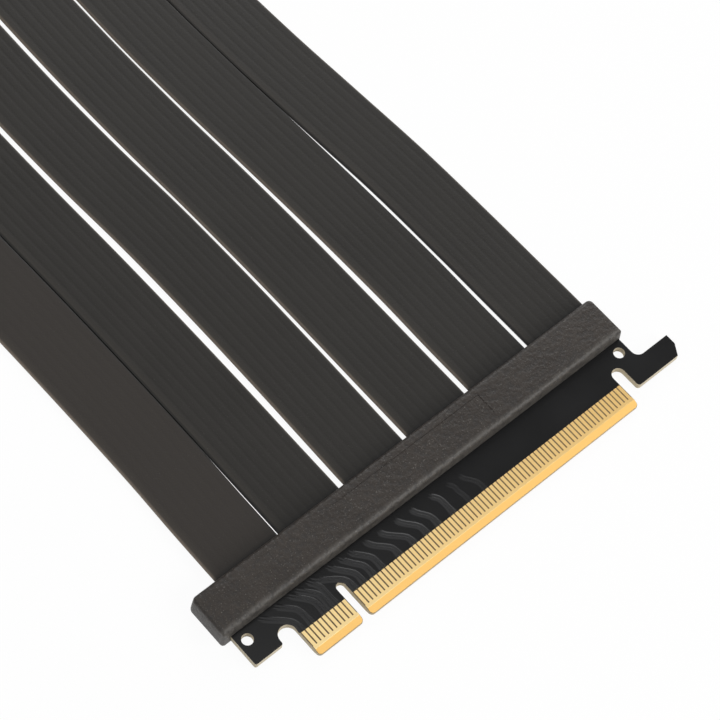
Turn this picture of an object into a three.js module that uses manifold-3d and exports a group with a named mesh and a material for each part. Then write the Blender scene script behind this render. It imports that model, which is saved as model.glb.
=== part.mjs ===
// Riser cable for a graphics card: a card edge that plugs into a board's slot, six flat
// ribbons, and a slot at the far end that takes the card. Sizes are in millimetres.
// Card coordinates are used throughout: x runs along the contacts from the middle of
// contact 1, y runs inward from the tip of the card edge, z runs up from the surface
// that the cable lies on. The group at the end centres all of it.
import * as THREE from 'three';
import { mergeVertices } from 'three/addons/utils/BufferGeometryUtils.js';
import Module from 'manifold-3d';

const wasm = await Module();
wasm.setup();

// Contacts of a 16-lane card edge
const contactPitch = 1.0;
const shortContacts = 11;
const longContacts = 71;
const keyStep = 3.0;
const contactWidth = 0.7;
const contactThickness = 0.05;
const contactSeat = 0.01;
const contactReach = 5.6;
const bridgeReach = 2.15;
const tabMargin = 0.55;
const bridgeInset = 0.08;

// Board with the card edge
const boardThickness = 1.57;
const earWidth = 6.7;
const boardShoulder = 4.25;
const boardDepth = 20.0;
const bevelRun = 1.5;
const bevelDrop = 0.5;
const tabCorner = 0.8;
const earLevel = 6.0;
const earCorner = 0.4;
const notchTop = 8.85;
const reliefWidth = 3.85;
const hookSlotWidth = 2.9;
const hookSlotCorner = 0.7;
const hookBottom = 3.0;
const hookTop = 7.85;
const hookShoulder = 5.45;
const hookLength = 12.6;
const hookTipCut = 1.5;
const hookFillet = 1.7;
const toolingHoleRadius = 1.2;
const toolingHoleLevel = 10.9;
const leftHoleInset = 2.1;
const rightHoleInset = 2.2;

// Moulded bars that grip the boards and the ribbons
const barLeftOverhang = 2.0;
const barRightOverhang = 0.8;
const barFront = 13.1;
const barDepth = 10.2;
const barHeight = 5.0;
const barCorner = 1.2;
const barEdgeRound = 0.6;
const skinUnderBoard = 0.43;
const mouldGap = 0.1;
const panelLength = 38.1;
const panelWidth = 4.9;
const panelSetback = 2.9;
const panelDepth = 0.12;

// Flat ribbons
const ribbonCount = 6;
const ribbonWidth = 15.3;
const ribbonThickness = 0.9;
const ribbonChamfer = 0.28;
const ribbonPitch = 16.35;
const ribbonOffset = 2.95;
const mouthOffsets = [0, 0.1, -0.05, -0.15, -0.4, 0.35];
const ribbonGripDepth = 2.8;
const ribbonFreeLength = 200;
const ribbonSettle = 0.72;
const ribbonSteps = 22;

// Slot that takes the graphics card
const slotDepth = 7.5;
const slotHeight = 11.25;
const slotEndWall = 2.2;
const slotGap = 1.9;
const slotFloorHeight = 3.0;
const slotFloorWidth = 1.7;
const keyClearance = 0.2;
const cellWidth = 0.6;
const cellDepth = 1.4;
const leadInDepth = 0.7;
const leadInWidth = 3.1;
const slotSetback = 1.6;
const pegRadius = 0.8;
const pegLength = 1.3;
const pegClearance = 0.1;

// Springs that stand in the slot's cells
const springWidth = 0.4;
const springThickness = 0.2;
const springHeight = 8.6;
const springBellyHeight = 6.2;
const springBellyGap = 1.2;
const springCellClearance = 0.1;

// Board that carries the slot
const farBoardRim = 3.2;
const farHoleRadius = 1.25;
const farHoleInset = 2.4;
const farBoardCorner = 1.0;

// Places that follow from the sizes above
const boardBottomZ = skinUnderBoard;
const boardTopZ = boardBottomZ + boardThickness;
const boardMiddleZ = (boardBottomZ + boardTopZ) / 2;
const shortLeft = -tabMargin;
const shortRight = (shortContacts - 1) * contactPitch + tabMargin;
const longFirst = (shortContacts - 1) * contactPitch + keyStep;
const longLeft = longFirst - tabMargin;
const longRight = longFirst + (longContacts - 1) * contactPitch + tabMargin;
const hookLeft = longRight + hookSlotWidth;
const hookRight = hookLeft + hookLength;
const boardLeft = shortLeft - reliefWidth - earWidth;
const boardRight = hookLeft + boardShoulder;
const boardBack = boardDepth;
const barLeft = boardLeft - barLeftOverhang;
const barRight = boardRight + barRightOverhang;
const ribbonMiddle = (barLeft + barRight) / 2 + ribbonOffset;
const barBack = barFront + barDepth;
const farBarFront = barBack + ribbonFreeLength;
const farBarBack = farBarFront + barDepth;
const farBoardFront = farBarBack - (boardBack - barFront);
const slotFront = farBarBack + slotSetback;
const slotMiddleY = slotFront + slotDepth / 2;
const slotBack = slotFront + slotDepth;
const farBoardBack = slotBack + farBoardRim;
const slotLeft = shortLeft - keyClearance - slotEndWall;
const slotRight = longRight + keyClearance + slotEndWall;
const pegInset = slotEndWall / 2;

// Turns a section drawn in (y, z) and extruded along x the right way round
const alongX = new THREE.Matrix4().makeBasis(
  new THREE.Vector3(0, 1, 0),
  new THREE.Vector3(0, 0, 1),
  new THREE.Vector3(1, 0, 0),
);

function solidOf(geometry) {
  const bare = geometry.clone();
  bare.deleteAttribute('normal');
  bare.deleteAttribute('uv');
  const merged = mergeVertices(bare, 1e-5);
  return new wasm.Manifold(new wasm.Mesh({
    numProp: 3,
    vertProperties: Float32Array.from(merged.attributes.position.array),
    triVerts: Uint32Array.from(merged.index.array),
  }));
}

function geometryOf(solid) {
  const mesh = solid.getMesh();
  const geometry = new THREE.BufferGeometry();
  geometry.setAttribute('position', new THREE.BufferAttribute(mesh.vertProperties, 3));
  geometry.setIndex(new THREE.BufferAttribute(mesh.triVerts, 1));
  geometry.computeVertexNormals();
  return geometry;
}

function block(x0, x1, y0, y1, z0, z1) {
  const geometry = new THREE.BoxGeometry(x1 - x0, y1 - y0, z1 - z0);
  geometry.translate((x0 + x1) / 2, (y0 + y1) / 2, (z0 + z1) / 2);
  return solidOf(geometry);
}

function prismAlongX(section, x0, x1) {
  const shape = new THREE.Shape(section.map(([y, z]) => new THREE.Vector2(y, z)));
  const geometry = new THREE.ExtrudeGeometry(shape, { depth: x1 - x0, bevelEnabled: false });
  geometry.applyMatrix4(alongX);
  geometry.translate(x0, 0, 0);
  return solidOf(geometry);
}

// An outline whose corners [x, y, radius] are rounded by arcs of so many steps
function roundedOutline(corners, steps = 5) {
  const points = [];
  const add = (point) => {
    const last = points[points.length - 1];
    if (!last || last.distanceTo(point) > 1e-4) points.push(point);
  };
  corners.forEach(([x, y, radius = 0], i) => {
    const here = new THREE.Vector2(x, y);
    if (radius === 0) {
      add(here);
      return;
    }
    const [px, py] = corners[(i + corners.length - 1) % corners.length];
    const [nx, ny] = corners[(i + 1) % corners.length];
    const toPrevious = new THREE.Vector2(px - x, py - y).normalize();
    const toNext = new THREE.Vector2(nx - x, ny - y).normalize();
    const halfAngle = Math.acos(toPrevious.dot(toNext)) / 2;
    const inward = toPrevious.clone().add(toNext).normalize();
    const centre = here.clone().addScaledVector(inward, radius / Math.sin(halfAngle));
    const start = here.clone().addScaledVector(toPrevious, radius / Math.tan(halfAngle));
    const spoke = start.sub(centre);
    const side = Math.sign(toPrevious.cross(toNext));
    const sweep = -side * (Math.PI - 2 * halfAngle);
    for (let k = 0; k <= steps; k += 1) {
      const turn = (sweep * k) / steps;
      const turned = spoke.clone().rotateAround(new THREE.Vector2(), turn);
      add(turned.add(centre));
    }
  });
  return new THREE.Shape(points);
}

function plate(shape, bottom, thickness, curveSegments = 10) {
  const geometry = new THREE.ExtrudeGeometry(shape, {
    depth: thickness, bevelEnabled: false, curveSegments,
  });
  geometry.translate(0, 0, bottom);
  return geometry;
}

function addHole(shape, x, y, radius) {
  shape.holes.push(new THREE.Path().absarc(x, y, radius, 0, Math.PI * 2, true));
}

function rectangle(x0, x1, y0, y1, radius) {
  return [[x0, y0, radius], [x1, y0, radius], [x1, y1, radius], [x0, y1, radius]];
}

// Middle of every contact along x, in one tab
function contactPlaces(first, count) {
  return Array.from({ length: count }, (_, k) => first + k * contactPitch);
}

// Card edge board: two tabs with the key notch between them, the relief and ear on the
// left, the hook and its slot on the right, and two tooling holes
function makeMaleBoard() {
  const keyRound = (longLeft - shortRight) / 2;
  const hookRound = hookSlotWidth / 2;
  const reliefRound = reliefWidth / 2;
  const outline = roundedOutline([
    [shortLeft, 0, tabCorner],
    [shortRight, 0, tabCorner],
    [shortRight, notchTop, keyRound],
    [longLeft, notchTop, keyRound],
    [longLeft, 0, tabCorner],
    [longRight, 0, tabCorner],
    [longRight, notchTop, hookRound],
    [hookLeft, notchTop, hookRound],
    [hookLeft, hookBottom, hookSlotCorner],
    [hookRight - hookTipCut, hookBottom],
    [hookRight, hookShoulder],
    [hookRight, hookTop],
    [boardRight, hookTop, hookFillet],
    [boardRight, boardBack],
    [boardLeft, boardBack],
    [boardLeft, earLevel, earCorner],
    [shortLeft - reliefWidth, earLevel, earCorner],
    [shortLeft - reliefWidth, notchTop, reliefRound],
    [shortLeft, notchTop, reliefRound],
  ], 6);
  addHole(outline, boardLeft + leftHoleInset, toolingHoleLevel, toolingHoleRadius);
  addHole(outline, boardRight - rightHoleInset, toolingHoleLevel, toolingHoleRadius);
  const beyond = 1;
  const bevel = (surface, side) => prismAlongX([
    [-beyond, surface - side * bevelDrop * (1 + beyond / bevelRun)],
    [bevelRun, surface],
    [bevelRun, surface + side * beyond],
    [-beyond, surface + side * beyond],
  ], shortLeft - beyond, longRight + beyond);
  return solidOf(plate(outline, boardBottomZ, boardThickness))
    .subtract(bevel(boardTopZ, 1))
    .subtract(bevel(boardBottomZ, -1));
}

// Gold contacts of one tab on one face: fingers joined by the plated band at the bevel
function makeContacts(first, count, side) {
  const surface = side > 0 ? boardTopZ : boardBottomZ;
  const inner = surface + side * contactSeat;
  const outer = inner + side * contactThickness;
  const places = contactPlaces(first, count);
  const left = places[0] - tabMargin + bridgeInset;
  const right = places[count - 1] + tabMargin - bridgeInset;
  const tip = bridgeInset;
  const tipDrop = side * bevelDrop * (1 - tip / bevelRun);
  const band = prismAlongX([
    [bridgeReach, inner],
    [bevelRun, inner],
    [tip, inner - tipDrop],
    [tip, outer - tipDrop],
    [bevelRun, outer],
    [bridgeReach, outer],
  ], left, right);
  const overlap = 0.1;
  const fingers = places.map((x) => block(
    x - contactWidth / 2, x + contactWidth / 2,
    bridgeReach - overlap, contactReach,
    Math.min(inner, outer), Math.max(inner, outer),
  ));
  const round = tabCorner - bridgeInset;
  const tab = roundedOutline([
    [left, tip, round], [right, tip, round],
    [right, contactReach + 1], [left, contactReach + 1],
  ], 4);
  return wasm.Manifold.union([band, ...fingers])
    .intersect(solidOf(plate(tab, boardBottomZ - 1, boardThickness + 2)));
}

function ribbonPlaces() {
  return mouthOffsets.map((offset, k) => (
    ribbonMiddle + ((ribbonCount - 1) / 2 - k) * ribbonPitch + offset
  ));
}

// Moulded bar: a rounded block over the board's end, with the board's pocket in one long
// side, a mouth for each ribbon in the other and, at the plug, a shallow panel on top
function makeBar(boardSide, ribbonSide, hasPanel) {
  const inward = Math.sign(ribbonSide - boardSide);
  const low = Math.min(boardSide, ribbonSide);
  const high = Math.max(boardSide, ribbonSide);
  const plan = roundedOutline(rectangle(
    barLeft + barEdgeRound, barRight - barEdgeRound,
    low + barEdgeRound, high - barEdgeRound, barCorner - barEdgeRound,
  ), 4);
  const geometry = new THREE.ExtrudeGeometry(plan, {
    depth: barHeight - 2 * barEdgeRound,
    bevelEnabled: true,
    bevelThickness: barEdgeRound,
    bevelSize: barEdgeRound,
    bevelSegments: 3,
  });
  geometry.translate(0, 0, barEdgeRound);
  const beyond = 1;
  const pocketEnd = boardSide + inward * (boardBack - barFront + mouldGap);
  const pocketMouth = boardSide - inward * beyond;
  const pocket = block(
    boardLeft - mouldGap, boardRight + mouldGap,
    Math.min(pocketMouth, pocketEnd), Math.max(pocketMouth, pocketEnd),
    boardBottomZ - mouldGap, boardTopZ + mouldGap,
  );
  const gripEnd = ribbonSide - inward * (ribbonGripDepth + mouldGap);
  const gripMouth = ribbonSide + inward * beyond;
  const halfHeight = ribbonThickness / 2 + mouldGap;
  const halfWidth = ribbonWidth / 2 + mouldGap;
  const mouths = ribbonPlaces().map((x) => block(
    x - halfWidth, x + halfWidth,
    Math.min(gripEnd, gripMouth), Math.max(gripEnd, gripMouth),
    boardMiddleZ - halfHeight, boardMiddleZ + halfHeight,
  ));
  const panelStart = boardSide + inward * panelSetback;
  const panelStop = panelStart + inward * panelWidth;
  const panelMiddle = (barLeft + barRight) / 2;
  const panel = block(
    panelMiddle - panelLength / 2, panelMiddle + panelLength / 2,
    Math.min(panelStart, panelStop), Math.max(panelStart, panelStop),
    barHeight - panelDepth, barHeight + beyond,
  );
  const bar = solidOf(geometry).subtract(wasm.Manifold.union([pocket, ...mouths]));
  return hasPanel ? bar.subtract(panel) : bar;
}

// Where the ribbons pass: stations as shares of their free length, how far each has
// settled towards the table there, and each ribbon's drift sideways from its mouths
const ribbonStations = [
  [0, 0], [0.016, 0], [0.066, 0.35], [0.136, 0.89], [0.236, 1], [0.336, 1], [0.436, 1],
  [0.536, 1], [0.636, 1], [0.736, 1], [0.836, 0.95], [0.934, 0.35], [0.984, 0], [1, 0],
];
const ribbonDrift = [
  [0, 0, 0.03, 0.1, -0.3, -1.5, -2.72, -3.3, -2.9, -1.9, -0.8, -0.1, 0, 0],
  [0, 0, 0.05, 0.3, -0.1, -0.9, -1.85, -2.4, -2.2, -1.6, -0.7, -0.1, 0, 0],
  [0, 0, 0.05, 0.17, 0.03, -0.5, -1.33, -1.72, -1.6, -1.1, -0.4, 0, 0, 0],
  [0, 0, 0.2, 0.47, 0.47, 0.03, -1.0, -1.52, -1.4, -1.0, -0.4, 0, 0, 0],
  [0, 0, 0.07, 0.22, 0.07, -0.33, -0.98, -1.38, -1.3, -0.9, -0.4, 0, 0, 0],
  [0, 0, 0.12, 0.45, 0.3, -0.12, -0.8, -1.25, -1.2, -0.9, -0.4, 0, 0, 0],
];

function ribbonRoute(index) {
  const mouth = ribbonPlaces()[index];
  const free = ribbonStations.map(([share, settled], k) => new THREE.Vector3(
    mouth + ribbonDrift[index][k],
    barBack + share * ribbonFreeLength,
    boardMiddleZ - settled * ribbonSettle,
  ));
  return [
    new THREE.Vector3(mouth, barBack - ribbonGripDepth, boardMiddleZ),
    ...free,
    new THREE.Vector3(mouth, farBarFront + ribbonGripDepth, boardMiddleZ),
  ];
}

function makeRibbon(index) {
  const thick = ribbonThickness / 2;
  const wide = ribbonWidth / 2;
  const section = roundedOutline(rectangle(-thick, thick, -wide, wide, ribbonChamfer), 1);
  return new THREE.ExtrudeGeometry(section, {
    steps: ribbonSteps,
    extrudePath: new THREE.CatmullRomCurve3(ribbonRoute(index)),
  });
}

// Bent spring of one contact, leaning from its foot on the board towards the card
function springSection(side) {
  const foot = slotGap / 2 + cellDepth - springCellClearance;
  const belly = springBellyGap / 2;
  const sunk = 0.05;
  return [
    [foot, -sunk],
    [belly + springThickness, springBellyHeight],
    [foot, springHeight],
    [belly, springBellyHeight],
    [foot - springThickness, -sunk],
  ].map(([out, up]) => [slotMiddleY + side * out, boardTopZ + up]);
}

function allContactPlaces() {
  return [
    ...contactPlaces(0, shortContacts),
    ...contactPlaces(longFirst, longContacts),
  ];
}

// Far board with the two rows of slot springs soldered to it
function makeFarBoard() {
  const outline = roundedOutline([
    [boardLeft, farBoardFront], [boardRight, farBoardFront],
    [boardRight, farBoardBack, farBoardCorner], [boardLeft, farBoardBack, farBoardCorner],
  ], 4);
  addHole(outline, boardLeft + farHoleInset, slotMiddleY, farHoleRadius);
  addHole(outline, boardRight - farHoleInset, slotMiddleY, farHoleRadius);
  for (const x of [slotLeft + pegInset, slotRight - pegInset]) {
    addHole(outline, x, slotMiddleY, pegRadius + pegClearance);
  }
  const springs = [1, -1].flatMap((side) => allContactPlaces().map((x) => prismAlongX(
    springSection(side), x - springWidth / 2, x + springWidth / 2,
  )));
  return wasm.Manifold.union([
    solidOf(plate(outline, boardBottomZ, boardThickness, 5)),
    ...springs,
  ]);
}

// One card cavity, with a cell for each spring along both long sides
function cavity([x0, x1], places) {
  const near = slotGap / 2;
  const far = near + cellDepth;
  const half = cellWidth / 2;
  const cells = (y, out, order) => order.flatMap(([a, b]) => [
    [a, y], [a, y + out], [b, y + out], [b, y],
  ]);
  const rising = places.map((x) => [x - half, x + half]);
  const falling = places.map((x) => [x + half, x - half]).reverse();
  const points = [
    [x0, slotMiddleY - near],
    ...cells(slotMiddleY - near, near - far, rising),
    [x1, slotMiddleY - near],
    [x1, slotMiddleY + near],
    ...cells(slotMiddleY + near, far - near, falling),
    [x0, slotMiddleY + near],
  ];
  const shape = new THREE.Shape(points.map(([x, y]) => new THREE.Vector2(x, y)));
  return solidOf(plate(shape, boardTopZ - 1, slotHeight + 2));
}

// Slot housing: a long block with two celled cavities, the key between them, a floor
// rib, a lead-in round the mouth and two locating pegs
function makeSlotHousing() {
  const shape = roundedOutline(rectangle(slotLeft, slotRight, slotFront, slotBack, 0.3), 1);
  const shortSpan = [shortLeft - keyClearance, shortRight + keyClearance];
  const longSpan = [longLeft - keyClearance, longRight + keyClearance];
  const top = boardTopZ + slotHeight;
  const floor = block(
    shortLeft - keyClearance - 0.2, longRight + keyClearance + 0.2,
    slotMiddleY - slotFloorWidth / 2, slotMiddleY + slotFloorWidth / 2,
    boardTopZ, boardTopZ + slotFloorHeight,
  );
  const leadIn = ([x0, x1]) => prismAlongX([
    [slotMiddleY - slotGap / 2, top - leadInDepth],
    [slotMiddleY + slotGap / 2, top - leadInDepth],
    [slotMiddleY + leadInWidth / 2, top + 0.01],
    [slotMiddleY - leadInWidth / 2, top + 0.01],
  ], x0, x1);
  const peg = (x) => {
    const geometry = new THREE.CylinderGeometry(pegRadius, pegRadius, pegLength + 0.1, 12);
    geometry.rotateX(Math.PI / 2);
    geometry.translate(x, slotMiddleY, boardTopZ - pegLength / 2 + 0.05);
    return solidOf(geometry);
  };
  return solidOf(plate(shape, boardTopZ, slotHeight))
    .subtract(cavity(shortSpan, contactPlaces(0, shortContacts)))
    .subtract(cavity(longSpan, contactPlaces(longFirst, longContacts)))
    .add(floor)
    .add(peg(slotLeft + pegInset))
    .add(peg(slotRight - pegInset))
    .subtract(leadIn(shortSpan))
    .subtract(leadIn(longSpan));
}

const solderMask = () => new THREE.MeshStandardMaterial({
  color: 0x1c1c1e, roughness: 0.35, metalness: 0.0,
});
const goldPlating = () => new THREE.MeshStandardMaterial({
  color: 0xf2c368, roughness: 0.3, metalness: 1.0,
});
const mouldedRubber = () => new THREE.MeshStandardMaterial({
  color: 0x403c38, roughness: 0.6, metalness: 0.0,
});
const ribbonJacket = () => new THREE.MeshStandardMaterial({
  color: 0x353330, roughness: 0.5, metalness: 0.0,
});
const slotPlastic = () => new THREE.MeshStandardMaterial({
  color: 0x1a1a1a, roughness: 0.45, metalness: 0.0,
});

const riser = new THREE.Group();
riser.position.set(-(barLeft + hookRight) / 2, -farBoardBack / 2, 0);

function addPiece(name, shape, material) {
  const geometry = shape.isBufferGeometry ? shape : geometryOf(shape);
  const mesh = new THREE.Mesh(geometry, material);
  mesh.name = name;
  riser.add(mesh);
}

addPiece('male_board', makeMaleBoard(), solderMask());
addPiece('contacts_short_top', makeContacts(0, shortContacts, 1), goldPlating());
addPiece('contacts_long_top', makeContacts(longFirst, longContacts, 1), goldPlating());
addPiece('contacts_short_under', makeContacts(0, shortContacts, -1), goldPlating());
addPiece('contacts_long_under', makeContacts(longFirst, longContacts, -1), goldPlating());
addPiece('male_strain_bar', makeBar(barFront, barBack, true), mouldedRubber());
for (let index = 0; index < ribbonCount; index += 1) {
  addPiece(`ribbon_${index + 1}`, makeRibbon(index), ribbonJacket());
}
addPiece('far_strain_bar', makeBar(farBarBack, farBarFront, false), mouldedRubber());
addPiece('far_board', makeFarBoard(), solderMask());
addPiece('slot_housing', makeSlotHousing(), slotPlastic());

export default riser;
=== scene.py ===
import math

import bmesh
import bpy
from mathutils import Matrix, Vector


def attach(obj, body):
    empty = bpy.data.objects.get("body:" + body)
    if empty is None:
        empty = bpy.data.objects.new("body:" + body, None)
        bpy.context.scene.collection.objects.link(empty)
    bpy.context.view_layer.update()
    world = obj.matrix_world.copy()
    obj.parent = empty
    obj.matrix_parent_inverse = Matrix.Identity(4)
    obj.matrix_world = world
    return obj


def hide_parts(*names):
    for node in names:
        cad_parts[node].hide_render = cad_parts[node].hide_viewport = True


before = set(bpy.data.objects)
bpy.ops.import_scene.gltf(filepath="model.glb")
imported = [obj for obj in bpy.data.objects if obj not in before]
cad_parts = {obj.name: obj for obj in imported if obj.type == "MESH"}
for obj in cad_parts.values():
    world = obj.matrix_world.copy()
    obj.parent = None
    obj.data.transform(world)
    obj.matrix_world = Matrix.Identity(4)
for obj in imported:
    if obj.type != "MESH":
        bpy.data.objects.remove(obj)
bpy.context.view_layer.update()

# Camera. It stands over the plug end and looks down along the ribbons, and it is turned a
# little about its own line of sight.
camera_data = bpy.data.cameras.new("camera")
camera_data.sensor_width = 36.0
camera_data.lens = 122.22
camera_data.clip_start = 0.01
camera_data.clip_end = 20.0
camera = bpy.data.objects.new("camera", camera_data)
camera_right = Vector((0.7465, -0.6576, 0.1013))
camera_up = Vector((0.5455, 0.6921, 0.4726))
camera_back = Vector((-0.3809, -0.2976, 0.8754))
camera.matrix_world = Matrix.Translation((-0.180695, -0.22466, 0.42506)) @ Matrix(
    (camera_right, camera_up, camera_back)
).transposed().to_4x4()
bpy.context.scene.collection.objects.link(camera)
bpy.context.scene.camera = camera

# Ribbons. Six flat cables with a ribbed black jacket, each holding eight pairs of wires
# side by side. They lie loose on the table and run from one moulded bar into the other.
mm = 0.001
card_origin = Vector((-42.975, -122.9, 0.0))
board_thickness = 1.57
skin_under_board = 0.43
board_top = skin_under_board + board_thickness
board_middle = skin_under_board + board_thickness / 2
bar_front, bar_back = 13.1, 23.3
ribbon_free_length = 200.0
far_bar_front = bar_back + ribbon_free_length
far_bar_back = far_bar_front + bar_back - bar_front
ribbon_count, ribbon_pitch = 6, 16.35
ribbon_width, ribbon_thickness = 15.3, 0.9
edge_inset, edge_level, shoulder_level = 0.07, 0.45, 0.82
ribbon_middle, ribbon_grip, ribbon_settle = 42.15, 2.8, 0.72
mouth_offsets = [0, 0.1, -0.05, -0.15, -0.4, 0.35]
ribbon_stations = [
    (0, 0), (0.016, 0), (0.066, 0.35), (0.136, 0.89), (0.236, 1), (0.336, 1), (0.436, 1),
    (0.536, 1), (0.636, 1), (0.736, 1), (0.836, 0.95), (0.934, 0.35), (0.984, 0), (1, 0),
]
ribbon_drifts = [
    [0, 0, 0.03, 0.1, -0.3, -1.5, -2.72, -3.3, -2.9, -1.9, -0.8, -0.1, 0, 0],
    [0, 0, 0.05, 0.3, -0.1, -0.9, -1.85, -2.4, -2.2, -1.6, -0.7, -0.1, 0, 0],
    [0, 0, 0.05, 0.17, 0.03, -0.5, -1.33, -1.72, -1.6, -1.1, -0.4, 0, 0, 0],
    [0, 0, 0.2, 0.47, 0.47, 0.03, -1.0, -1.52, -1.4, -1.0, -0.4, 0, 0, 0],
    [0, 0, 0.07, 0.22, 0.07, -0.33, -0.98, -1.38, -1.3, -0.9, -0.4, 0, 0, 0],
    [0, 0, 0.12, 0.45, 0.3, -0.12, -0.8, -1.25, -1.2, -0.9, -0.4, 0, 0, 0],
]
ribbon_step = 1.5
rib_count = 8
rib_points = 7
rib_groove, worn_groove = 0.037, 0.012
# Painted light on the jacket: how far in from each edge the painted edge highlight and shade
# reach, how far from each bar the painted shade by the bar reaches, how wide and how much
# lighter the painted lit side is, and for each ribbon the strength at its left and right edge
# of the painted highlight (above zero) and painted shade (below zero).
edge_highlight_width, bar_shade_width = 0.45, 1.4
lit_side_width, lit_side_gain = 1.8, 0.09
ribbon_edge_highlight_and_shade = [(-0.3, 0.5), (0.9, -1), (1.0, 0.4), (1.0, 0.4), (-1, 0.4), (1.0, -1)]


class Signal:
    """A value that a node gives, on which sums can be written."""

    def __init__(self, nodes, socket):
        self.nodes = nodes
        self.socket = socket

    def sum_of(self, operation, *values):
        inputs = dict(enumerate(values))
        return self.nodes.node("ShaderNodeMath", {"operation": operation}, inputs)

    def __add__(self, other):
        return self.sum_of("ADD", self, other)

    def __radd__(self, other):
        return self.sum_of("ADD", other, self)

    def __sub__(self, other):
        return self.sum_of("SUBTRACT", self, other)

    def __rsub__(self, other):
        return self.sum_of("SUBTRACT", other, self)

    def __mul__(self, other):
        return self.sum_of("MULTIPLY", self, other)

    def __rmul__(self, other):
        return self.sum_of("MULTIPLY", other, self)

    def __truediv__(self, other):
        return self.sum_of("DIVIDE", self, other)

    def __rtruediv__(self, other):
        return self.sum_of("DIVIDE", other, self)

    def __gt__(self, other):
        return self.sum_of("GREATER_THAN", self, other)

    def __lt__(self, other):
        return self.sum_of("LESS_THAN", self, other)

    def __abs__(self):
        return self.sum_of("ABSOLUTE", self)


class Nodes:
    """A tree of nodes, which are made one at a time."""

    def __init__(self, tree):
        self.tree = tree

    def node(self, kind, settings=None, inputs=None, output=0):
        made = self.tree.nodes.new(kind)
        for key, value in (settings or {}).items():
            if key == "stops":
                ramp = made.color_ramp.elements
                while len(ramp) < len(value):
                    ramp.new(0.5)
                for element, (place, shade) in zip(ramp, value):
                    element.position = place
                    element.color = (shade, shade, shade, 1)
            else:
                setattr(made, key, value)
        for key, value in (inputs or {}).items():
            if isinstance(value, Signal):
                self.tree.links.new(value.socket, made.inputs[key])
            else:
                made.inputs[key].default_value = value
        return Signal(self, made.outputs[output])

    def place(self):
        return self.node("ShaderNodeTexCoord", output="Object")

    def axes(self, vector):
        split = self.node("ShaderNodeSeparateXYZ", inputs={0: vector}).socket.node
        return [Signal(self, split.outputs[k]) for k in range(3)]

    def mix(self, factor, first, second):
        values = {0: factor, 6: first, 7: second}
        return self.node("ShaderNodeMix", {"data_type": "RGBA"}, values, output=2)

    def noise(self, scale, detail=2.0, where=None):
        values = {"Vector": where or self.place(), "Scale": scale, "Detail": detail}
        return self.node("ShaderNodeTexNoise", inputs=values)

    def ramp(self, value, *stops):
        return self.node("ShaderNodeValToRGB", {"stops": stops}, {0: value})

    def bump(self, height, distance, strength=1.0):
        values = {"Height": height, "Distance": distance, "Strength": strength}
        return self.node("ShaderNodeBump", inputs=values)


class Finish(Nodes):
    """A material, whose nodes feed its surface shader."""

    def __init__(self, name, **constants):
        self.material = bpy.data.materials.new(name)
        self.material.use_nodes = True
        super().__init__(self.material.node_tree)
        self.surface = self.tree.nodes["Principled BSDF"]
        for key, value in constants.items():
            title = key.replace("_", " ").title().replace("Ior", "IOR")
            self.surface.inputs[title].default_value = value

    def feed(self, **signals):
        for key, value in signals.items():
            self.tree.links.new(value.socket, self.surface.inputs[key.replace("_", " ")])


def card_point(x, y, z):
    """A point of the frame, in metres, for millimetres along, in from and over the contacts."""
    return (Vector((x, y, z)) + card_origin) * mm


def card_x(x):
    return (x + card_origin.x) * mm


def card_y(y):
    return (y + card_origin.y) * mm


def smooth_run(knots, places):
    """Values at places on a smooth line through the knots, which are (place, value)."""
    values = []
    for place in places:
        k = max(i for i, knot in enumerate(knots[:-1]) if i == 0 or knot[0] <= place)
        (a, value_a), (b, value_b) = knots[k], knots[k + 1]
        before = knots[max(k - 1, 0)]
        after = knots[min(k + 2, len(knots) - 1)]
        slope_a = (value_b - before[1]) / (b - before[0])
        slope_b = (after[1] - value_a) / (after[0] - a)
        t = (place - a) / (b - a)
        values.append(
            (2 * t**3 - 3 * t**2 + 1) * value_a
            + (t**3 - 2 * t**2 + t) * (b - a) * slope_a
            + (3 * t**2 - 2 * t**3) * value_b
            + (t**3 - t**2) * (b - a) * slope_b
        )
    return values


def add_piece(name, mesh, material, sharp_angle=35):
    mesh.shade_smooth()
    mesh.set_sharp_from_angle(angle=math.radians(sharp_angle))
    mesh.materials.clear()
    mesh.materials.append(material)
    piece = bpy.data.objects.new(name, mesh)
    bpy.context.scene.collection.objects.link(piece)
    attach(piece, "root")
    return piece


def loft(name, *bodies):
    """Closed bodies, each through rings of points, in metres, that have as many points."""
    bm = bmesh.new()
    for rings in bodies:
        loops = [[bm.verts.new(point) for point in ring] for ring in rings]
        for first, second in zip(loops, loops[1:]):
            for k in range(len(first)):
                following = (k + 1) % len(first)
                bm.faces.new((first[k], first[following], second[following], second[k]))
        bm.faces.new(loops[0][::-1])
        bm.faces.new(loops[-1])
    bmesh.ops.recalc_face_normals(bm, faces=bm.faces)
    mesh = bpy.data.meshes.new(name)
    bm.to_mesh(mesh)
    bm.free()
    return mesh


def ribbon_section(groove):
    """Points (across, up) round a ribbon, with eight ribs on each face."""
    half, thick = ribbon_width / 2, ribbon_thickness / 2
    rib = ribbon_width / rib_count
    edge = [(half, thick * edge_level), (half - edge_inset, thick * shoulder_level)]
    top = [(-x, z) for x, z in edge]
    for k in range(1, rib_count * rib_points):
        across = -half + k * rib / rib_points
        swell = abs(2 * (k % rib_points) / rib_points - 1)
        top.append((across, thick - groove * swell**4))
    top += edge[::-1]
    return top + [(x, -z) for x, z in reversed(top)]


def ribbon_mouth(index):
    steps_from_middle = (ribbon_count - 1) / 2 - index
    return ribbon_middle + steps_from_middle * ribbon_pitch + mouth_offsets[index]


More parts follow.
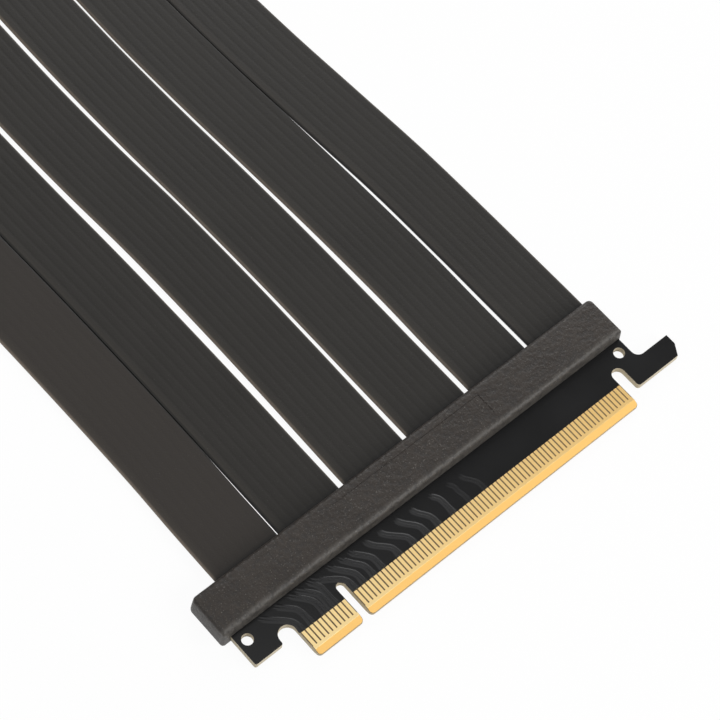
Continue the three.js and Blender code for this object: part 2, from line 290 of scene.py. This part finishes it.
def ribbon_route(index):
    """Points along a ribbon's middle, which drifts sideways and settles on the table."""
    mouth = ribbon_mouth(index)
    knots = [(share * ribbon_free_length, settled) for share, settled in ribbon_stations]
    shifts = [(k[0], drift) for k, drift in zip(knots, ribbon_drifts[index])]
    total = ribbon_free_length + 2 * ribbon_grip
    count = round(total / ribbon_step)
    places = [total * k / count - ribbon_grip for k in range(count + 1)]
    held = [min(max(place, 0), ribbon_free_length) for place in places]
    sideways = smooth_run(shifts, held)
    settled = smooth_run(knots, held)
    return [
        card_point(mouth + shift, bar_back + place, board_middle - drop * ribbon_settle)
        for place, shift, drop in zip(places, sideways, settled)
    ]


jacket = Finish("ribbon_jacket", specular_ior_level=0.3)
# Painted light on the jacket: a painted highlight, a tan line, along each ribbon's lit edges,
# with the lit side painted a little lighter, and painted shade, near black, along the edges
# where one ribbon meets or lies under its neighbour.
rim = jacket.node("ShaderNodeAttribute", {"attribute_name": "rim"}, output="Fac")
browned = jacket.node("ShaderNodeAttribute", {"attribute_name": "browned"}, output="Fac")
grain = jacket.noise(2600.0, 3.0)
cloud = jacket.noise(60.0, 3.0)
fleck = jacket.ramp(jacket.noise(4200.0, 1.0), (0.0, 0.0), (0.7, 0.0), (0.78, 1.0))
tone = jacket.mix(cloud, (0.0135, 0.0121, 0.0103, 1), (0.0200, 0.0180, 0.0156, 1))
tone = jacket.mix(browned, tone, (0.0265, 0.0222, 0.0188, 1))
tone = jacket.mix(fleck * 0.3, tone, (0.10, 0.095, 0.085, 1))
# Painted highlight where the edge value is above zero, painted shade where it is below zero.
tone = jacket.mix(rim * (0.6 + 0.4 * grain), tone, (0.22, 0.18, 0.14, 1))
tone = jacket.mix(0 - rim, tone, (0.001, 0.001, 0.001, 1))
# Painted shade: the jacket darkens towards each bar, where the bar shades the ribbons.
half_run = ribbon_free_length * mm / 2
middle_run = card_y(bar_back) + half_run
along = jacket.axes(jacket.place())[1]
from_bar = (half_run - abs(along - middle_run)) / (bar_shade_width * mm)
painted_bar_shade = jacket.ramp(from_bar, (0.0, 0.9), (0.35, 0.75), (1.0, 0.0))
tone = jacket.mix(painted_bar_shade, tone, (0.002, 0.002, 0.002, 1))
jacket.feed(
    Base_Color=tone,
    Roughness=0.42 + 0.16 * cloud,
    Normal=jacket.bump(grain, 0.00004, 0.6),
)

for index in range(ribbon_count):
    route = ribbon_route(index)
    last = index == ribbon_count - 1
    section = ribbon_section(worn_groove if last else rib_groove)
    rings = []
    for k, point in enumerate(route):
        ahead = route[min(k + 1, len(route) - 1)]
        behind = route[max(k - 1, 0)]
        tangent = (ahead - behind).normalized()
        aside = Vector((tangent.y, -tangent.x, 0)).normalized()
        up = aside.cross(tangent)
        rings.append([point + (aside * x + up * z) * mm for x, z in section])
    mesh = loft(f"ribbon_{index + 1}_jacket", rings)
    edge_highlights_and_shades = mesh.attributes.new("rim", "FLOAT", "POINT")
    browns = mesh.attributes.new("browned", "FLOAT", "POINT")
    # Per point, the strength of the painted edge highlight and shade, plus the painted lighter
    # lit side.
    for k in range(len(mesh.vertices)):
        across = section[k % len(section)][0]
        near_edge = max(0.0, 1 - (ribbon_width / 2 - abs(across)) / edge_highlight_width)
        lit_side = max(0.0, 1 - (ribbon_width / 2 + across) / lit_side_width)
        edge_light_and_shade = near_edge * ribbon_edge_highlight_and_shade[index][across > 0]
        edge_highlights_and_shades.data[k].value = edge_light_and_shade + lit_side_gain * lit_side
        browns.data[k].value = float(last)
    ribbon = add_piece(mesh.name, mesh, jacket.material, sharp_angle=60)
    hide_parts(f"ribbon_{index + 1}")

# Moulded bars. A tough black compound is moulded round the end of each board and the ends
# of its ribbons. Its faces lean in a little for the mould, and the plug's bar has a shallow
# bare panel in its top.
bar_left, bar_right, bar_height = -13.1, 91.5, 5.0
bar_draft = 0.3
bar_top_round, bar_base_round = 1.1, 0.25
bar_front_corner, bar_back_corner, least_corner = 0.7, 1.4, 0.08
base_steps, top_steps, corner_steps = 2, 6, 6
board_left, board_right, board_back = -11.1, 90.7, 20.0
panel_length, panel_width, panel_setback, panel_sink = 38.1, 4.9, 2.9, 0.09
mould_gap, cutter_overrun = 0.1, 1.0
# How far back from the bar's front the painted highlight reaches.
front_highlight_width = 1.7


def rounded_ring(corners, inset, z):
    """Points round corners (x, y, radius), given anticlockwise, drawn in by inset."""
    points = []
    for k, (x, y, radius) in enumerate(corners):
        before = Vector(corners[k - 1][:2]) - Vector((x, y))
        after = Vector(corners[(k + 1) % len(corners)][:2]) - Vector((x, y))
        inward = before.normalized() + after.normalized()
        round_radius = max(radius - inset, least_corner)
        centre = Vector((x, y)) + inward * (round_radius + inset)
        start = -after.normalized() * round_radius
        for step in range(corner_steps + 1):
            turned = start.copy()
            turned.rotate(Matrix.Rotation(math.pi / 2 * step / corner_steps, 2))
            points.append(card_point(centre.x + turned.x, centre.y + turned.y, z))
    return points


def box_cutter(bm, x0, x1, y0, y1, z0, z1):
    """One more box for the cutter, in card coordinates."""
    corners = [(x, y, z) for x in (x0, x1) for y in (y0, y1) for z in (z0, z1)]
    made = bmesh.ops.create_cube(bm, size=1.0)["verts"]
    for vert, corner in zip(made, corners):
        vert.co = card_point(*corner)


def carve(mesh, cutter_bm):
    """The mesh with the cutter's boxes taken out of it."""
    bmesh.ops.recalc_face_normals(cutter_bm, faces=cutter_bm.faces)
    cutter_mesh = bpy.data.meshes.new("cutter")
    cutter_bm.to_mesh(cutter_mesh)
    cutter_bm.free()
    cutter = bpy.data.objects.new("cutter", cutter_mesh)
    body = bpy.data.objects.new("carved", mesh)
    for made in (cutter, body):
        bpy.context.scene.collection.objects.link(made)
    cut = body.modifiers.new("cut", "BOOLEAN")
    cut.operation = "DIFFERENCE"
    cut.solver = "EXACT"
    cut.use_self = True
    cut.object = cutter
    graph = bpy.context.evaluated_depsgraph_get()
    carved = bpy.data.meshes.new_from_object(body.evaluated_get(graph))
    bpy.data.objects.remove(body)
    bpy.data.objects.remove(cutter)
    return carved


def moulded_bar(board_side, ribbon_side, has_panel):
    """A bar with a pocket for the board's end and one for each ribbon."""
    inward = 1 if ribbon_side > board_side else -1
    near, far = sorted((board_side, ribbon_side))
    near_corner, far_corner = (bar_front_corner, bar_back_corner)[::inward]
    corners = [
        (bar_left, near, near_corner), (bar_right, near, near_corner),
        (bar_right, far, far_corner), (bar_left, far, far_corner),
    ]
    rings = []
    for k in range(base_steps + 1):
        turn = math.pi / 2 * k / base_steps
        inset = bar_base_round * (1 - math.sin(turn))
        rings.append(rounded_ring(corners, inset, bar_base_round * (1 - math.cos(turn))))
    for k in range(top_steps + 1):
        turn = math.pi / 2 * k / top_steps
        inset = bar_draft + bar_top_round * (1 - math.cos(turn))
        level = bar_height - bar_top_round * (1 - math.sin(turn))
        rings.append(rounded_ring(corners, inset, level))
    mesh = loft("bar", rings)
    bm = bmesh.new()
    pocket_end = board_side + inward * (board_back - bar_front + mould_gap)
    box_cutter(
        bm, board_left - mould_gap, board_right + mould_gap,
        board_side - inward * cutter_overrun, pocket_end,
        skin_under_board - mould_gap, board_top + mould_gap,
    )
    for index in range(ribbon_count):
        mouth = ribbon_mouth(index)
        half = ribbon_width / 2 + mould_gap
        thick = ribbon_thickness / 2 + mould_gap
        box_cutter(
            bm, mouth - half, mouth + half,
            ribbon_side - inward * (ribbon_grip + mould_gap),
            ribbon_side + inward * cutter_overrun,
            board_middle - thick, board_middle + thick,
        )
    if has_panel:
        middle = (bar_left + bar_right) / 2
        start = board_side + inward * panel_setback
        box_cutter(
            bm, middle - panel_length / 2, middle + panel_length / 2,
            start, start + inward * panel_width,
            bar_height - panel_sink, bar_height + cutter_overrun,
        )
    return carve(mesh, bm)


moulding = Finish("moulded_compound", specular_ior_level=0.5)
pebble = moulding.noise(1100.0, 4.0)
blotch = moulding.noise(160.0, 4.0)
speck = moulding.ramp(moulding.noise(3600.0, 1.0), (0.0, 0.0), (0.66, 0.0), (0.72, 1.0))
dimple = moulding.ramp(pebble, (0.0, 1.0), (0.42, 1.0), (0.5, 0.0))
tone = moulding.mix(blotch, (0.010, 0.0060, 0.0035, 1), (0.034, 0.0255, 0.0190, 1))
along = moulding.axes(moulding.place())[1]
# Painted highlight: the front edge of the plug's bar and its front face are painted lighter, in
# patches.
from_front = (along - card_y(bar_front)) / (front_highlight_width * mm)
painted_front_highlight = moulding.ramp(from_front, (0.0, 1.0), (0.6, 0.8), (1.0, 0.0))
tone = moulding.mix(painted_front_highlight * (0.3 + 0.8 * blotch), tone, (0.085, 0.078, 0.069, 1))
tone = moulding.mix(dimple * 0.5, tone, (0.014, 0.012, 0.011, 1))
tone = moulding.mix(speck * 0.45, tone, (0.20, 0.19, 0.17, 1))
moulding.feed(
    Base_Color=tone,
    Roughness=0.42 + 0.18 * blotch,
    Normal=moulding.bump(pebble, 0.00025, 0.9),
)
for name, node, board_side, ribbon_side, has_panel in (
    ("plug_moulding", "male_strain_bar", bar_front, bar_back, True),
    ("slot_moulding", "far_strain_bar", far_bar_back, far_bar_front, False),
):
    mesh = moulded_bar(board_side, ribbon_side, has_panel)
    mesh.name = name
    bar = add_piece(name, mesh, moulding.material, sharp_angle=30)
    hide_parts(node)

# Plug board. Glass laminate under a black solder mask, with the mask stopping at the
# contacts. Its milled edges and holes show the bare cream laminate.
finger_reach, solder_level = 5.6, 0.03
tab_left, tab_right = -0.7, 83.7
edge_break = 0.06
weld_distance, flat_angle, corner_angle = 0.000001, 1, 40


def dressed(node, name, material, break_width=0.0):
    """The node's own shape as a new piece, with its sharp edges slightly broken."""
    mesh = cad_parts[node].data.copy()
    mesh.name = name
    bm = bmesh.new()
    bm.from_mesh(mesh)
    bmesh.ops.remove_doubles(bm, verts=bm.verts, dist=weld_distance)
    bmesh.ops.dissolve_limit(
        bm, angle_limit=math.radians(flat_angle), verts=bm.verts, edges=bm.edges
    )
    if break_width:
        corner = math.radians(corner_angle)
        sharp = [edge for edge in bm.edges if edge.calc_face_angle(0) > corner]
        bmesh.ops.bevel(
            bm, geom=sharp, offset=break_width * mm, segments=2, profile=0.5,
            affect="EDGES", clamp_overlap=True,
        )
    bm.to_mesh(mesh)
    bm.free()
    piece = add_piece(name, mesh, material, sharp_angle=20)
    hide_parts(node)


def rightward(x):
    """How far along the tabs a place lies, from 0 at their left end to 1 at the right."""
    return (x - card_x(tab_left)) / ((tab_right - tab_left) * mm)


def board_finish(name, fingers=False, springs=False, over_copper=0.0):
    """Black mask on the faces and bare laminate on the edges and between fingers."""
    mask = Finish(name)
    x, y, z = mask.axes(mask.place())
    normal = mask.node("ShaderNodeNewGeometry", output="True Normal")
    wall = abs(mask.axes(normal)[2]) < 0.5
    cloud = mask.noise(90.0, 3.0)
    fibre = mask.noise(1800.0, 3.0)
    black = mask.mix(cloud, (0.0035, 0.0035, 0.0038, 1), (0.006, 0.006, 0.0063, 1))
    cream = mask.mix(fibre, (0.42, 0.36, 0.25, 1), (0.66, 0.58, 0.43, 1))
    black = mask.mix(over_copper, black, (0.02, 0.02, 0.021, 1))
    tone, rough = black, 0.2 + 0.1 * cloud
    if fingers:
        on_tabs = (x > card_x(tab_left)) * (x < card_x(tab_right))
        bare = on_tabs * (y < card_y(finger_reach))
        brown = mask.mix(fibre, (0.075, 0.042, 0.018, 1), (0.14, 0.085, 0.04, 1))
        brown = mask.mix(rightward(x) * 0.7, brown, (0.25, 0.17, 0.08, 1))
        tone, rough = mask.mix(bare, tone, brown), rough + 0.3 * bare
    tone, rough = mask.mix(wall, tone, cream), rough + 0.35 * wall
    if springs:
        metal = z > (board_top + solder_level) * mm
        tone = mask.mix(metal, tone, (0.75, 0.47, 0.17, 1))
        mask.feed(Metallic=metal)
    mask.feed(Base_Color=tone, Roughness=rough, Normal=mask.bump(fibre, 0.00001, 0.5))
    return mask.material


plug_mask = board_finish("plug_board_mask", fingers=True)
dressed("male_board", "plug_board", plug_mask, edge_break)

# Traces. Pairs of copper tracks lead from the contacts to the wires, and the mask lies
# over them as low ridges. Near the bar they sink out of sight into the board.
track_profile = [
    (-0.72, -0.02), (-0.72, 0.0), (-0.52, 0.008), (-0.40, 0.055), (-0.22, 0.057),
    (-0.08, 0.012), (0.06, 0.012), (0.20, 0.057), (0.38, 0.055), (0.52, 0.010),
    (0.80, 0.0), (0.80, -0.02),
]
track_flare, flare_reach = 0.2, 1.6
track_start, track_start_slope, tab_gap = 13.2, 0.05, 10.0
faint_from, faint_loss, track_sink = 38.0, 0.4, 0.02
track_shift = Vector((0.3, 0))
trace_end, corner_cut = 5.75, 0.25
trace_pairs = [
    [(-6.2, 14.6), (-4.2, 12.6), (-3.2, 11.5), (-0.6, 9.3), (0.5, 7.8)],
    [(-2.2, 14.6), (-0.3, 12.4), (2.2, 10.1), (2.8, 8.8)],
    [(1.2, 14.6), (3.0, 12.6), (5.6, 9.7), (6.1, 8.6)],
    [(3.2, 14.6), (5.0, 12.4), (7.4, 9.9), (7.7, 8.8)],
    [(6.4, 14.6), (7.7, 12.3), (8.7, 10.9), (8.9, 10.0)],
    [(7.6, 14.6), (8.2, 12.6), (9.3, 11.6), (10.1, 11.1), (12.4, 9.6), (13.75, 8.1)],
    [(11.4, 14.6), (12.6, 12.3), (14.0, 10.5), (15.5, 8.8), (15.9, 7.9)],
    [(14.2, 14.6), (15.3, 12.3), (16.6, 10.4), (18.0, 8.7), (18.3, 7.8)],
    [(16.9, 14.6), (17.6, 12.3), (18.6, 11.0), (20.3, 9.1), (20.6, 8.2)],
    [(21.2, 14.6), (21.4, 12.0), (22.2, 10.4), (24.5, 8.3), (24.9, 7.4)],
    [(25.0, 14.6), (25.0, 11.6), (25.6, 10.5), (28.2, 8.1), (28.7, 7.2)],
    [(28.9, 14.6), (29.0, 12.1), (29.4, 10.7), (31.6, 8.3), (32.0, 7.4)],
    [(32.8, 14.6), (32.8, 11.6), (33.2, 10.4), (34.6, 8.6), (35.0, 7.7)],
    [(36.6, 14.6), (36.9, 12.2), (38.4, 10.4), (38.9, 9.4)],
    [(41.0, 14.6), (41.4, 11.6), (42.8, 10.0), (42.6, 8.6), (43.0, 7.4)],
    [(44.6, 14.6), (45.0, 10.4), (46.7, 8.3), (47.1, 7.2)],
]


def softened(points, rounds=3):
    """The line through the points with each corner cut, and cut again."""
    for _ in range(rounds):
        cut = [points[0]]
        for a, b in zip(points, points[1:]):
            cut += [a.lerp(b, corner_cut), a.lerp(b, 1 - corner_cut)]
        points = cut + [points[-1]]
    return points


def track_rings(line):
    """Rings round a pair of tracks, which widens at the contacts and fades at the bar."""
    rings = []
    fade = 1 - faint_loss * (line[0].x > faint_from)
    for k, point in enumerate(line):
        along = (line[min(k + 1, len(line) - 1)] - line[max(k - 1, 0)]).normalized()
        aside = Vector((along.y, -along.x))
        flare = 1 + track_flare * max(0.0, 1 - (point.y - trace_end) / flare_reach)
        shown_to = track_start - track_start_slope * max(0.0, point.x - tab_gap)
        rise = fade * min(max(shown_to - point.y, 0.0), 1.0)
        base = board_top - track_sink * (1 - rise)
        rings.append([
            card_point(*(point + aside * x * flare), base + z * rise)
            for x, z in track_profile
        ])
    return rings


track_lines = [
    softened([Vector(p) - track_shift for p in pair + [(pair[-1][0], trace_end)]])
    for pair in trace_pairs
]
tracks = loft("masked_tracks", *map(track_rings, track_lines))
track_mask = board_finish("track_mask", over_copper=0.4)
add_piece("masked_tracks", tracks, track_mask, sharp_angle=60)

# Contacts. Copper pads plated with gold, joined by a plated band along the bevel that
# goes into the slot first. The plating is lightly brushed and scuffed where it slides.
finger_foot = 1.4
gold = Finish("gold_plating", metallic=1.0)
x, y, z = gold.axes(gold.place())
streak_place = gold.node("ShaderNodeCombineXYZ", inputs={0: x * 9000.0, 1: y * 300.0, 2: z})
streak = gold.noise(1.0, 3.0, streak_place)
cloud = gold.noise(140.0, 3.0)
tone = gold.mix(cloud, (0.95, 0.655, 0.25, 1), (0.92, 0.59, 0.20, 1))
tone = gold.mix(0.3 * streak, tone, (0.97, 0.78, 0.45, 1))
to_right = rightward(x)
fingers = y > card_y(finger_foot)
tone = gold.mix((1 - fingers) * 0.8, tone, (0.86, 0.54, 0.17, 1))
# Painted highlight lightens the fingers towards the left end of the tabs, and painted shade
# darkens them to olive towards the right end.
tone = gold.mix(fingers * (0.95 - 0.9 * to_right), tone, (1.0, 0.80, 0.42, 1))
tone = gold.mix(fingers * to_right * 0.45, tone, (0.66, 0.47, 0.20, 1))
gold.feed(
    Base_Color=tone,
    Roughness=0.5 + 0.16 * streak,
    Normal=gold.bump(streak, 0.000004, 0.5),
)
for node in (
    "contacts_short_top", "contacts_long_top",
    "contacts_short_under", "contacts_long_under",
):
    dressed(node, node + "_plating", gold.material)

# Far board. The same laminate and mask as the plug's board. The springs of the slot are
# soldered to it in two rows.
far_mask = board_finish("far_board_mask", springs=True)
dressed("far_board", "far_board_dressed", far_mask)

# Slot housing. Black moulded plastic with a fine matte grain, with a cell for each of the
# springs. It stands on the far board and takes the card.
housing = Finish("slot_plastic", specular_ior_level=0.4)
grain = housing.noise(3000.0, 2.0)
cloud = housing.noise(120.0, 3.0)
tone = housing.mix(cloud, (0.009, 0.009, 0.0095, 1), (0.015, 0.015, 0.016, 1))
housing.feed(
    Base_Color=tone,
    Roughness=0.4 + 0.15 * cloud,
    Normal=housing.bump(grain, 0.00002, 0.5),
)
dressed("slot_housing", "slot_body", housing.material)

# Table and light. A white table, four soft lamps, at the left, at the right, in front and
# overhead, and a faint fill from the world. The glow that turns table and world white is
# for the camera, and the table's for reflections too, so it doesn't light the cable.
table_reach, table_drop, table_glow, world_fill = 6.0, 0.0001, 0.94, 0.2

bm = bmesh.new()
bmesh.ops.create_grid(bm, x_segments=1, y_segments=1, size=table_reach)
table_mesh = bpy.data.meshes.new("table")
bm.to_mesh(table_mesh)
bm.free()
table = bpy.data.objects.new("table", table_mesh)
table.location = (0, 0, -table_drop)
bpy.context.scene.collection.objects.link(table)
white = Finish("white_table", base_color=(0.86, 0.86, 0.86, 1), roughness=0.9)
glow = white.node("ShaderNodeEmission", inputs={"Color": (1, 1, 1, 1), "Strength": 1.0})
seen = white.node("ShaderNodeLightPath", output="Is Camera Ray")
mirrored = white.node("ShaderNodeLightPath", output="Is Glossy Ray")
surface = Signal(white, white.surface.outputs[0])
shaders = {0: (seen + mirrored) * table_glow, 1: surface, 2: glow}
joined = white.node("ShaderNodeMixShader", inputs=shaders)
output = white.tree.nodes["Material Output"]
white.tree.links.new(joined.socket, output.inputs["Surface"])
table_mesh.materials.append(white.material)


def soft_lamp(name, place, target, size, power):
    data = bpy.data.lights.new(name, "AREA")
    data.shape = "RECTANGLE"
    data.size, data.size_y = size
    data.energy = power
    lamp = bpy.data.objects.new(name, data)
    lamp.location = place
    lamp.rotation_mode = "QUATERNION"
    lamp.rotation_quaternion = (Vector(place) - Vector(target)).to_track_quat("Z", "Y")
    bpy.context.scene.collection.objects.link(lamp)


for name, place, target, size, power in (
    ("left_lamp", (-0.75, 0.15, 0.95), (-0.1, 0, 0), (1.1, 1.1), 6.0),
    ("right_lamp", (0.75, 0.6, 0.55), (0, 0, 0), (0.9, 0.7), 6.6),
    ("front_lamp", (0.4, -0.85, 0.55), (0, -0.1, 0), (0.9, 0.6), 7.5),
    ("overhead_lamp", (0.1, 0.15, 1.0), (0.1, 0.15, 0), (0.3, 0.8), 0.5),
):
    soft_lamp(name, place, target, size, power)
world = bpy.data.worlds.new("studio")
world.use_nodes = True
studio = Nodes(world.node_tree)
seen = studio.node("ShaderNodeLightPath", output="Is Camera Ray")
strength = world_fill + (1 - world_fill) * seen
background = world.node_tree.nodes["Background"]
world.node_tree.links.new(strength.socket, background.inputs["Strength"])
background.inputs["Color"].default_value = (1, 1, 1, 1)
bpy.context.scene.world = world
bpy.context.scene.view_settings.view_transform = "Standard"
